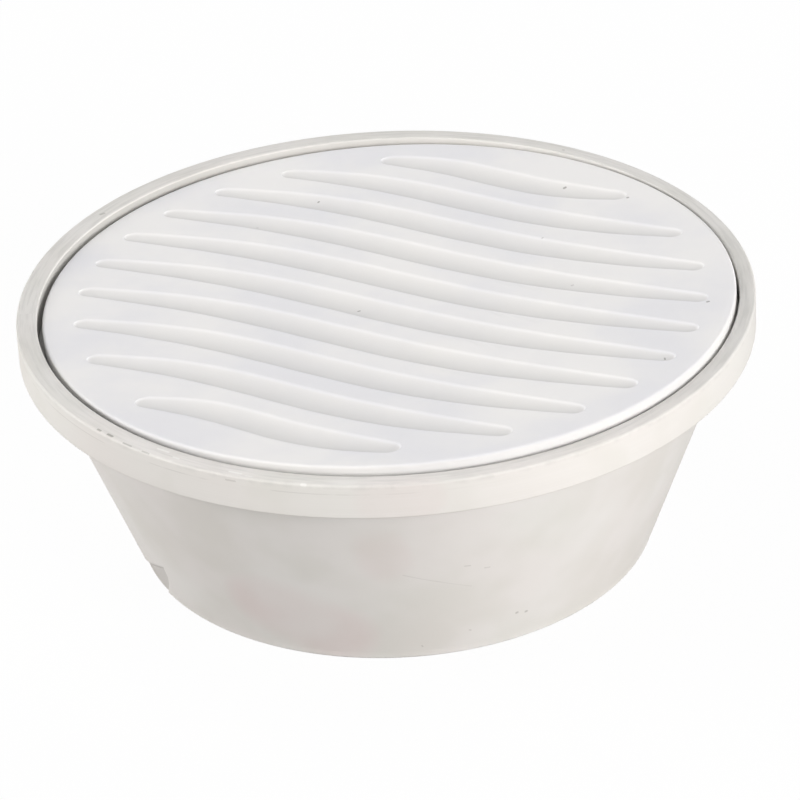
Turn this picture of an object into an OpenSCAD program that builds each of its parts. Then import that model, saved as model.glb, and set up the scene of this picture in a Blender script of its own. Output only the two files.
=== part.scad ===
// Bell-type gully trap: a round moulded bowl with a tapered wall and a wide rim band, a loose water
// seal bell over its standpipe, and a solid cover with wavy flutes that lies a little askew in the rim.
// Lengths are in millimetres. The origin is at the middle of the base, and +Z points up.

/* [Rim] */
// Outer diameter of the rim band
rim_d = 300; // [260:1:400]
// Height of the rim band
band_h = 14.8; // [12:0.5:24]
// How far the band stands out from the wall below it
band_step = 10; // [4:0.1:14]
// Mean width of the rim's flat top
rim_w = 7.4; // [5:0.1:10]
// Radius of the rim's moulded edges
rim_edge_r = 1; // [0.4:0.1:1.6]

/* [Bowl] */
// Height from the base to the top of the rim
trap_h = 106.2; // [98:0.1:170]
// Outer diameter of the base
base_d = 214.8; // [200:0.2:240]
// Thickness of the tapered wall
wall_t = 5; // [3:0.1:7]
// Thickness of the floor
floor_t = 5; // [3:0.1:8]
// Radius of the edge round the base
base_edge_r = 1.5; // [0.5:0.1:2.5]

/* [Cover seat] */
// Depth of the seat below the top of the rim
seat_depth = 12; // [11:0.5:14]
// How far the recess for the cover is moulded off the trap's axis, towards +X
recess_x = 0.9; // [0:0.1:1.5]
// Radius of the edge round the recess
recess_edge_r = 0.6; // [0.3:0.1:1.5]
// Mean width of the seat ledge
seat_w = 7.9; // [6.5:0.1:11]
// Thickness of the seat ledge
seat_t = 4; // [3:0.1:6]

/* [Cover] */
// Clearance all round the cover when it lies centred in its recess
cover_gap = 1.7; // [1.5:0.1:2.5]
// How far the cover has slid in its recess towards +X
cover_slide_x = 0.4; // [0:0.1:0.8]
// How far the cover has slid in its recess towards +Y
cover_slide_y = 0.3; // [0:0.1:0.8]
// Tilt of the cover, which lies askew with only its low side down on the seat
cover_tilt = 1.32; // [0:0.02:2]
// Direction of the cover's raised side, turned from +X towards +Y
tilt_turn = 303.5; // [0:0.5:359.5]
// Height of the cover from the skirt's lower edge to the top face
cover_h = 9; // [8.5:0.1:10.5]
// Thickness of the cover plate
cover_t = 5; // [4.5:0.1:5.5]
// Radius of the cover's top edge
cover_edge_r = 1.2; // [0.5:0.1:2]
// Thickness of the cover's skirt
skirt_t = 3.5; // [2.5:0.1:4.5]
// Number of bars cut across the skirt's lower edge, two water slots for each
slot_bars = 8; // [4:1:10]
// Width of a water slot
slot_w = 25; // [12:1:30]
// Height of a water slot
slot_h = 2.4; // [1.5:0.1:2.6]

/* [Flutes] */
// Distance between neighbouring flutes
flute_pitch = 25.2; // [22:0.1:32]
// Width of a flute at its widest place
flute_w = 15.5; // [10:0.1:18]
// Depth of a flute at its deepest place
flute_d = 2.4; // [1.5:0.1:3]
// Plain margin between the outer corners of the flutes' tips and the cover's edge
flute_margin = 10.7; // [10:0.1:30]
// Width of a flute beside its tips, as a part of its widest place
tip_share = 0.47; // [0.2:0.01:0.8]
// Length over which each tip is rounded off
tip_round = 4; // [2:0.5:8]
// Turn of the flutes on the cover
flute_turn = -26.4; // [-90:0.1:90]
// How far the flutes are moulded off the cover's middle, along themselves
flute_along = 1; // [-2:0.1:2]
// How far the flutes are moulded off the cover's middle, across themselves
flute_across = -0.5; // [-2:0.1:2]
// Sideways swing of a flute's wave that does not depend on its length
wave_swing = 1.1; // [0:0.1:3]
// Further sideways swing for each millimetre of a flute's half length
wave_swing_rate = 0.03; // [0:0.001:0.035]
// How far the wave's middle lies towards the flute's start, as a part of its half length
wave_skew = 0.07; // [-0.15:0.01:0.15]

/* [Outlet] */
// Outer diameter of the outlet pipe that the socket takes
pipe_d = 110; // [90:1:112]
// Radial clearance of the pipe in its socket
socket_fit = 0.15; // [0.1:0.05:0.3]
// Depth of the socket
socket_len = 40; // [25:1:44]
// Thickness of the socket's wall
socket_t = 3.6; // [3:0.1:5]
// Lead-in chamfer at the socket's mouth
socket_lead = 1.5; // [0.5:0.1:2.5]
// How far the pipe stop reaches in over the pipe's end
pipe_stop_w = 3; // [2:0.1:5]
// Thickness of the standpipe's wall
standpipe_t = 3.6; // [3:0.1:4.5]

/* [Water seal bell] */
// Gap between the socket's outside and the inside of the bell
bell_gap = 9; // [6:0.1:11]
// Thickness of the bell's wall
bell_t = 3; // [2:0.1:4]
// Height of the bell's lower edge above the floor
bell_lift = 12; // [8:0.5:16]
// Space between the weir and the inside of the bell's crown
crown_gap = 12; // [8:0.5:14]
// Height of the lifting knob
knob_h = 10; // [8:0.5:12]
// Diameter of the knob's head
knob_d = 28; // [22:1:40]
// Diameter of the knob's neck
neck_d = 16; // [12:1:20]
// How far the knob's top lies below the seat ledge
knob_drop = 1.5; // [0.5:0.5:4]
// Number of fins that carry the bell on the weir
fin_count = 4; // [3:1:6]
// Thickness of a fin
fin_t = 3; // [2:0.1:4]
// How far a fin's guide edge reaches down beside the standpipe
fin_guide_h = 14; // [6:0.5:16]
// Clearance of the fins' guide edges round the standpipe
fin_clear = 0.6; // [0.3:0.1:1]

/* [Hidden] */

rim_r = rim_d / 2;
rim_bore_r = rim_r - rim_w;
band_z = trap_h - band_h;
base_r = base_d / 2;
wall_top_r = rim_r - band_step;
wall_draft = (wall_top_r - base_r) / band_z;
seat_z = trap_h - seat_depth;
seat_bore_r = rim_bore_r - seat_w;

cover_r = rim_bore_r - cover_gap;
cover_z = seat_z + cover_r * sin(cover_tilt) + cover_h * cos(cover_tilt);

pipe_r = pipe_d / 2;
socket_r = pipe_r + socket_fit;
socket_out_r = socket_r + socket_t;
stop_r = pipe_r - pipe_stop_w;
standpipe_out_r = stop_r + standpipe_t;

bell_in_r = socket_out_r + bell_gap;
bell_out_r = bell_in_r + bell_t;
knob_top_z = seat_z - knob_drop;
bell_top_z = knob_top_z - knob_h;
crown_z = bell_top_z - bell_t;
weir_z = crown_z - crown_gap;
bell_foot_z = floor_t + bell_lift;
fin_sink = bell_t * 2 / 3;

flute_reach = cover_r - flute_margin;
flute_rows = 2 * floor(flute_reach / flute_pitch);
tip_half_w = flute_w / 2 * tip_share;
flute_steps = 24;
flute_arc_steps = 8;
flute_over_angle = 6;
tip_angle = 4;
tip_power = 2.5;

edge_steps = 5;
round_fn = 128;
cut_over = 1;

// Points of a quarter round or any other arc, from angle a0 to a1
function arc(cx, cz, r, a0, a1) =
    [for (i = [0:edge_steps]) let (a = a0 + (a1 - a0) * i / edge_steps) [cx + r * cos(a), cz + r * sin(a)]];

// Outer radius of the tapered wall at a height
function wall_r(z) = base_r + wall_draft * z;

// The round space in the rim, down to the seat, in which the cover lies
module recess() {
    rotate_extrude($fn = round_fn)
        polygon(concat(
            [[0, seat_z], [rim_bore_r, seat_z]],
            arc(rim_bore_r + recess_edge_r, trap_h - recess_edge_r, recess_edge_r, 180, 90),
            [[rim_bore_r + recess_edge_r, trap_h + cut_over], [0, trap_h + cut_over]]
        ));
}

module trap_body() {
    socket_mouth = [[socket_r, socket_lead], [socket_r + socket_lead, 0]];
    base_edge = arc(base_r - base_edge_r, base_edge_r, base_edge_r, -90, 0);
    band_outside = concat(
        [[wall_top_r, band_z]],
        arc(rim_r - rim_edge_r, band_z + rim_edge_r, rim_edge_r, -90, 0),
        arc(rim_r - rim_edge_r, trap_h - rim_edge_r, rim_edge_r, 0, 90)
    );
    ledge_inside = [[seat_bore_r, trap_h], [seat_bore_r, seat_z - seat_t]];
    wall_inside = [[wall_r(seat_z - seat_t) - wall_t, seat_z - seat_t], [wall_r(floor_t) - wall_t, floor_t]];
    standpipe = [
        [socket_out_r, floor_t],
        [socket_out_r, socket_len + socket_t],
        [standpipe_out_r, socket_len + socket_t],
        [standpipe_out_r, weir_z],
        [stop_r, weir_z],
        [stop_r, socket_len],
        [socket_r, socket_len]
    ];
    color("#dcd9d3")
        difference() {
            rotate_extrude($fn = round_fn)
                polygon(concat(socket_mouth, base_edge, band_outside, ledge_inside, wall_inside, standpipe));
            translate([recess_x, 0, 0])
                recess();
        }
}

module bell_shell() {
    knob_edge_r = knob_h / 8;
    knob_r = knob_d / 2;
    neck_top_z = bell_top_z + knob_h / 2;
    outside = concat(
        [[bell_in_r, bell_foot_z], [bell_out_r, bell_foot_z]],
        arc(bell_out_r - 2 * bell_t, bell_top_z - 2 * bell_t, 2 * bell_t, 0, 90)
    );
    knob = concat(
        [[neck_d / 2, bell_top_z], [neck_d / 2, neck_top_z], [knob_r, neck_top_z]],
        arc(knob_r - knob_edge_r, knob_top_z - knob_edge_r, knob_edge_r, 0, 90),
        [[0, knob_top_z], [0, crown_z]]
    );
    inside = arc(bell_in_r - bell_t, crown_z - bell_t, bell_t, 90, 0);
    rotate_extrude($fn = round_fn)
        polygon(concat(outside, knob, inside));
}

// A fin stands on the weir and its guide edge reaches down outside the standpipe
module bell_fin() {
    guide_r = standpipe_out_r + fin_clear;
    rest_r = stop_r + 1;
    rotate([90, 0, 0])
        linear_extrude(height = fin_t, center = true)
            polygon([
                [rest_r, weir_z],
                [rest_r, crown_z + fin_sink],
                [bell_in_r - bell_t, crown_z + fin_sink],
                [bell_in_r + fin_sink, crown_z - bell_t],
                [bell_in_r + fin_sink, weir_z - fin_guide_h],
                [guide_r, weir_z - fin_guide_h],
                [guide_r, weir_z]
            ]);
}

module water_seal_bell() {
    first_fin = 180 / fin_count;
    color("#e6e3dd")
        union() {
            bell_shell();
            for (i = [0:fin_count - 1])
                rotate([0, 0, first_fin + i * 360 / fin_count])
                    bell_fin();
        }
}

// The cover is drawn level, with the middle of its top face at the origin
module cover_plate() {
    rotate_extrude($fn = round_fn)
        polygon(concat(
            [[0, -cover_t], [cover_r - skirt_t, -cover_t], [cover_r - skirt_t, -cover_h], [cover_r, -cover_h]],
            arc(cover_r - cover_edge_r, -cover_edge_r, cover_edge_r, 0, 90),
            [[0, 0]]
        ));
}

// Bars across the skirt's lower edge leave a ring of slots for the water
module skirt_slots() {
    for (i = [0:slot_bars - 1])
        rotate([0, 0, (i + 0.5) * 180 / slot_bars])
            translate([-rim_r, -slot_w / 2, -cover_h - cut_over])
                cube([rim_d, slot_w, slot_h + cut_over]);
}

// Part of its full width that a flute has at a place t, which runs from -1 to 1 along the flute
function flute_share(t, half_len) =
    let (rounded = min(1, half_len * (1 - abs(t)) / tip_round))
    (1 - (1 - tip_share) * pow(abs(t), tip_power)) * sqrt(1 - (1 - rounded) * (1 - rounded));

// Cutter for one flute: an arc section, scaled down to both tips, that follows one S-shaped wave
module flute_cutter(half_len) {
    half_w = flute_w / 2;
    arc_r = (half_w * half_w + flute_d * flute_d) / (2 * flute_d);
    edge_angle = asin(half_w / arc_r) + flute_over_angle;
    swing = wave_swing + wave_swing_rate * half_len;
    ring = flute_arc_steps + 1;
    points = [
        for (i = [0:flute_steps])
            let (a = tip_angle + (180 - 2 * tip_angle) * i / flute_steps)
            let (t = -cos(a), f = flute_share(t, half_len))
            let (side = -swing * sin(180 * (t + wave_skew * (1 - t * t))))
            for (j = [0:flute_arc_steps])
                let (b = edge_angle * (2 * j / flute_arc_steps - 1))
                [half_len * t, side + f * arc_r * sin(b), f * (arc_r - flute_d - arc_r * cos(b))]
    ];
    walls = [
        for (i = [0:flute_steps - 1], j = [0:ring - 1])
            let (a = i * ring + j, b = i * ring + (j + 1) % ring)
            each [[a, b + ring, b], [a, a + ring, b + ring]]
    ];
    start_cap = [[for (j = [0:ring - 1]) j]];
    end_cap = [[for (j = [0:ring - 1]) (flute_steps + 1) * ring - 1 - j]];
    polyhedron(points = points, faces = concat(walls, start_cap, end_cap));
}

module flutes() {
    rotate([0, 0, flute_turn])
        for (i = [0:flute_rows - 1]) {
            row = (i - (flute_rows - 1) / 2) * flute_pitch;
            tip_corner = abs(row) + tip_half_w;
            translate([flute_along, flute_across + row, 0])
                flute_cutter(sqrt(flute_reach * flute_reach - tip_corner * tip_corner));
        }
}

module cover() {
    color("#ebebee")
        translate([recess_x + cover_slide_x, cover_slide_y, cover_z])
            rotate(a = cover_tilt, v = [sin(tilt_turn), -cos(tilt_turn), 0])
                difference() {
                    cover_plate();
                    skirt_slots();
                    flutes();
                }
}

trap_body();
water_seal_bell();
cover();
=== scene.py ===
import math

import bmesh
import bpy
from bpy.props import FloatProperty, FloatVectorProperty, IntProperty, PointerProperty
from mathutils import Matrix, Vector


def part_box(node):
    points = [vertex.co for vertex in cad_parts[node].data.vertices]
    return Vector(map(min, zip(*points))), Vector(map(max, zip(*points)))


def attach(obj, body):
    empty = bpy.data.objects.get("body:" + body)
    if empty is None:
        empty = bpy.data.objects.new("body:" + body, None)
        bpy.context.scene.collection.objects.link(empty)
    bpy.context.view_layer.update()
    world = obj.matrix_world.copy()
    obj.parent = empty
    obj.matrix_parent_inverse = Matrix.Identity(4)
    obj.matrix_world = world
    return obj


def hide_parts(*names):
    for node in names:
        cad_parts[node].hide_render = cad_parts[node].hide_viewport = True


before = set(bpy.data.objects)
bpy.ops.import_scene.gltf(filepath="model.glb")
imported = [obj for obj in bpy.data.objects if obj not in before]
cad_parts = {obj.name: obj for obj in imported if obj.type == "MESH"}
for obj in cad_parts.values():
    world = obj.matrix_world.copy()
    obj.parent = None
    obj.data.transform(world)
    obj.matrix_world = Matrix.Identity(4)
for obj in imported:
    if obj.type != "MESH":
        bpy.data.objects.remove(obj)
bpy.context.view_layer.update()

bl_info = {
    "name": "Gully Trap",
    "version": (1, 0, 0),
    "blender": (4, 5, 0),
    "location": "View3D > Sidebar > Gully Trap",
    "description": "Dresses a bell-type gully trap: moulded bowl, water seal bell and fluted cover",
    "category": "Object",
}

MM = 0.001
BODY_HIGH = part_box("trap_body")[1]
COVER_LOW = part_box("cover")[0]
# the rim is the top and the widest place of the bowl, and the cover's low side lies on the ledge
TRAP_HEIGHT = BODY_HIGH.z
RIM_RADIUS = max(BODY_HIGH)
SEAT_HEIGHT = COVER_LOW.z


def linear(code):
    """The linear colour of an sRGB hex code."""
    parts = [int(code[i:i + 2], 16) / 255 for i in (1, 3, 5)]
    return tuple(v / 12.92 if v <= 0.04045 else ((v + 0.055) / 1.055) ** 2.4 for v in parts)


def length(name, text, default):
    """A length that a user can change, in metres."""
    return FloatProperty(name=name, description=text, default=default, precision=5, unit="LENGTH")


def angle(name, text, default):
    """An angle that a user can change, in radians."""
    return FloatProperty(name=name, description=text, default=default, precision=5, subtype="ANGLE")


def number(name, text, default):
    """A plain number that a user can change."""
    return FloatProperty(name=name, description=text, default=default, precision=5)


def count(name, text, default):
    """How many there are of something, which a user can change."""
    return IntProperty(name=name, description=text, default=default, min=1)


def colour(name, text, code):
    """A colour that a user can change."""
    tone = linear(code)
    return FloatVectorProperty(name=name, description=text, default=tone, min=0, max=1, subtype="COLOR")


class BowlSizes(bpy.types.PropertyGroup):
    """Sizes and colours of the moulded bowl"""
    band_height: length("Band height", "Height of the rim band", 14.8 * MM)
    band_step: length("Band step", "How far the band stands out from the wall", 10 * MM)
    rim_width: length("Rim width", "Mean width of the rim's flat top", 7.4 * MM)
    rim_edge: length("Rim edge", "Radius of the rim's moulded edges", 1 * MM)
    recess_shift: length("Recess shift", "How far the cover's recess is moulded off the axis", 0.9 * MM)
    recess_edge: length("Recess edge", "Radius of the edge round the recess", 0.6 * MM)
    base_radius: length("Base radius", "Outer radius of the base", 107.4 * MM)
    base_edge: length("Base edge", "Radius of the edge round the base", 1.5 * MM)
    wall: length("Wall", "Thickness of the tapered wall and the floor", 5 * MM)
    seat_width: length("Seat width", "Mean width of the ledge that carries the cover", 7.9 * MM)
    seat_thickness: length("Seat thickness", "Thickness of the ledge", 4 * MM)
    socket_radius: length("Socket radius", "Inner radius of the outlet socket", 55.15 * MM)
    socket_depth: length("Socket depth", "Depth of the outlet socket", 40 * MM)
    socket_wall: length("Socket wall", "Wall of the socket and the standpipe", 3.6 * MM)
    socket_lead: length("Socket lead-in", "Chamfer at the socket's mouth", 1.5 * MM)
    pipe_radius: length("Standpipe radius", "Inner radius of the standpipe", 52 * MM)
    weir_height: length("Weir height", "Height of the standpipe's top edge", 67.7 * MM)
    dent_depth: length("Dent depth", "Depth of the ground-off patch at the foot", 0.7 * MM)
    body_colour: colour("Body colour", "Off-white of the moulding", "#EEECE9")
    stain_colour: colour("Stain colour", "Greyer green of old water stains", "#E1E0D9")
    blush_colour: colour("Blush colour", "Pinkish tone of uneven pigment", "#E7D9D7")
    patch_and_grime_colour: colour("Patch and grime colour", "Darkening of the patch at the foot, and dirt in the line and the scratches", "#8A867F")
    # one grey for worn spots on the rim's edge, the rim top darker towards the back, and painted shade in the
    # recess
    worn_and_shade_colour: colour("Worn and shade colour", "Grey of the worn rim edge, the darkened rim top and the painted shade in the recess", "#C6C5C1")
    flake_colour: colour("Flake colour", "Fresh plastic where the edge is chipped", "#F8F7F4")


class CoverSizes(bpy.types.PropertyGroup):
    """Sizes and colours of the fluted cover"""
    radius: length("Radius", "Outer radius of the cover", 140.9 * MM)
    height: length("Height", "From the skirt's lower edge to the top face", 9 * MM)
    plate: length("Plate", "Thickness of the plate", 5 * MM)
    edge: length("Edge radius", "Radius of the top edge", 1.2 * MM)
    skirt: length("Skirt", "Thickness of the skirt", 3.5 * MM)
    slots: count("Slots", "Water slots round the skirt", 16)
    slot_width: length("Slot width", "Width of a water slot", 25 * MM)
    slot_height: length("Slot height", "Height of a water slot", 2.4 * MM)
    place_x: length("Place X", "How far the cover lies off the axis along X", 1.3 * MM)
    place_y: length("Place Y", "How far the cover lies off the axis along Y", 0.3 * MM)
    askew: angle("Askew", "Tilt of the cover", math.radians(1.32))
    raised: angle("Raised side", "Direction of the raised side", math.radians(303.5))
    rows: count("Flutes", "Number of flutes", 10)
    pitch: length("Flute pitch", "Distance between neighbouring flutes", 25.2 * MM)
    width: length("Flute width", "Width of a flute at its widest place", 15.5 * MM)
    depth: length("Flute depth", "Depth of a flute at its deepest place", 2.4 * MM)
    margin: length("Flute margin", "Plain margin outside the corners of the tips", 10.7 * MM)
    lip: length("Flute lip", "How far the flute's edges are rounded over", 0.7 * MM)
    tip_share: number("Tip share", "Width beside the tips, as a part of the widest", 0.47)
    tip_round: length("Tip rounding", "Length over which each tip is rounded off", 4 * MM)
    wobble: length("Wobble", "Hand-finished unevenness of the flutes' edges", 0.4 * MM)
    turn: angle("Turn", "Turn of the flutes", math.radians(-26.4))
    shift_along: length("Shift along", "How far the flutes lie off the middle along themselves", 1 * MM)
    shift_across: length("Shift across", "How far the flutes lie off the middle sideways", -0.5 * MM)
    swing: length("Swing", "Sideways swing of the wave at no length", 1.1 * MM)
    swing_rate: number("Swing rate", "Further swing for each unit of half length", 0.03)
    skew: number("Skew", "How far the wave's middle lies to one side", 0.07)
    cover_colour: colour("Cover colour", "White of the moulding", "#F5F4F3")
    shade_colour: colour("Shade colour", "Cooler, slightly greyer flow marks", "#ECECEF")
    # painted shade: the flutes are darkened the more, the deeper they lie
    flute_shade_colour: colour("Flute shade colour", "Painted shade that darkens the flutes by their depth", "#E2E1DF")
    speck_colour: colour("Speck colour", "Dirt specks", "#6A6660")


class BellSizes(bpy.types.PropertyGroup):
    """Colours of the water seal bell"""
    bell_colour: colour("Bell colour", "Off-white of the moulding", "#E4E0D9")
    shade_colour: colour("Shade colour", "Slightly darker flow marks", "#DCD8D0")


class StageSizes(bpy.types.PropertyGroup):
    """Camera, lamps and floor"""
    elevation: angle("Elevation", "Camera's height angle", 0.49761)
    distance: length("Distance", "From the camera to the middle of the rim", 1.725)
    lens: number("Lens", "Focal length on a 36 mm sensor, in mm", 191.1)
    pan: angle("Pan", "Camera's pan off the rim's middle", -0.00214)
    tilt: angle("Tilt", "Camera's tilt off the rim's middle", -0.02494)
    roll: angle("Roll", "Camera's roll", -0.05313)
    room: number("Room", "Strength of the even room light", 0.03)
    white: number("White", "Part of the sweep that the camera sees as plain white", 0.96)
    floor_colour: colour("Floor colour", "Pale paper sweep", "#F7F7F7")
    bounce_colour: colour("Bounce colour", "Tone of the sweep that lights the object from below", "#959595")


def add(tree, kind, links=(), **settings):
    """Adds a node with its settings, and sets or links its inputs, as (socket, value) pairs."""
    made = tree.nodes.new(kind)
    for key, value in settings.items():
        setattr(made, key, value)
    for key, value in dict(links).items():
        if isinstance(value, bpy.types.NodeSocket):
            tree.links.new(value, made.inputs[key])
        else:
            made.inputs[key].default_value = value
    return made


# faces that meet at more than this angle show a sharp edge
SHARP_EDGE = math.radians(24)


def piece(name, mesh, body, node, material):
    """Links a finished mesh as a named piece that rides on a body and stands for a CAD node."""
    made = bpy.data.objects.new(name, mesh)
    bpy.context.scene.collection.objects.link(made)
    mesh.materials.clear()
    mesh.materials.append(material)
    for face in mesh.polygons:
        face.use_smooth = True
    mesh.set_sharp_from_angle(angle=SHARP_EDGE)
    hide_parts(node)
    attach(made, body)


# straight steps in the arc of a rounded edge
ARC_STEPS = 6


def arc(x, z, radius, start, end):
    """Points of an arc in the (radius, height) plane, angles in degrees."""
    turns = [math.radians(start + (end - start) * i / ARC_STEPS) for i in range(ARC_STEPS + 1)]
    return [(x + radius * math.cos(a), z + radius * math.sin(a)) for a in turns]


def spread(points, step):
    """The points with extra ones between, no further apart than the step."""
    made = []
    for (x0, z0), (x1, z1) in zip(points, points[1:] + points[:1]):
        parts = max(1, math.ceil(math.hypot(x1 - x0, z1 - z0) / step))
        made += [(x0 + (x1 - x0) * i / parts, z0 + (z1 - z0) * i / parts) for i in range(parts)]
    return made


def turned(profile, parts):
    """A closed ring of a closed profile turned about Z, as a bmesh with outward faces."""
    made = bmesh.new()
    rings = []
    for i in range(parts):
        a = 2 * math.pi * i / parts
        rings.append([made.verts.new((r * math.cos(a), r * math.sin(a), z)) for r, z in profile])
    for i, ring in enumerate(rings):
        following = rings[(i + 1) % parts]
        for j in range(len(profile)):
            k = (j + 1) % len(profile)
            made.faces.new((ring[j], following[j], following[k], ring[k]))
    bmesh.ops.recalc_face_normals(made, faces=made.faces)
    return made


def bowl_profile(sizes):
    """Closed outline of the bowl's wall, from the socket's mouth outwards and back over the rim."""
    band = TRAP_HEIGHT - sizes.band_height
    top = RIM_RADIUS - sizes.band_step
    edge, inner_edge = sizes.rim_edge, sizes.recess_edge
    bore = RIM_RADIUS - sizes.rim_width
    ledge = SEAT_HEIGHT - sizes.seat_thickness
    draft = (top - sizes.base_radius) / band
    outer = sizes.socket_radius + sizes.socket_wall
    step = sizes.socket_depth + sizes.socket_wall
    points = [(sizes.socket_radius, sizes.socket_lead), (sizes.socket_radius + sizes.socket_lead, 0)]
    points += arc(sizes.base_radius - sizes.base_edge, sizes.base_edge, sizes.base_edge, -90, 0)
    points += [(top, band)]
    points += arc(RIM_RADIUS - edge, band + edge, edge, -90, 0)
    points += arc(RIM_RADIUS - edge, TRAP_HEIGHT - edge, edge, 0, 90)
    points += arc(bore + inner_edge, TRAP_HEIGHT - inner_edge, inner_edge, 90, 180)
    seat = bore - sizes.seat_width
    points += [(bore, SEAT_HEIGHT), (seat, SEAT_HEIGHT), (seat, ledge)]
    points += [(sizes.base_radius + draft * z - sizes.wall, z) for z in (ledge, sizes.wall)]
    pipe = sizes.pipe_radius
    pipe_outer = pipe + sizes.socket_wall
    points += [(outer, sizes.wall), (outer, step), (pipe_outer, step)]
    points += [(pipe_outer, sizes.weir_height), (pipe, sizes.weir_height)]
    points += [(pipe, sizes.socket_depth), (sizes.socket_radius, sizes.socket_depth)]
    return points


# where a flute's tips lie on the grid: columns past them run on to the rim of the disc
TIP_AT = 0.9
# part of a strip's half width whose lines lie in the flute: the others lie on the land beside it
GROOVE = 0.6
# half width that a flute's lines keep where it has closed
CLOSED_HALF = 0.3 * MM
# how late a flute narrows towards its tips
TIP_POWER = 2.5
# least part of its width that a flute's section is worked out with
LEAST_FALL = 0.001
# the arc of a section is read no further out than this part of its radius
ARC_END = 0.98
# size in mm of the unevenness of the flutes' edges, and its place in the noise
UNEVEN, UNEVEN_SEED = 16, 0.7

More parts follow.
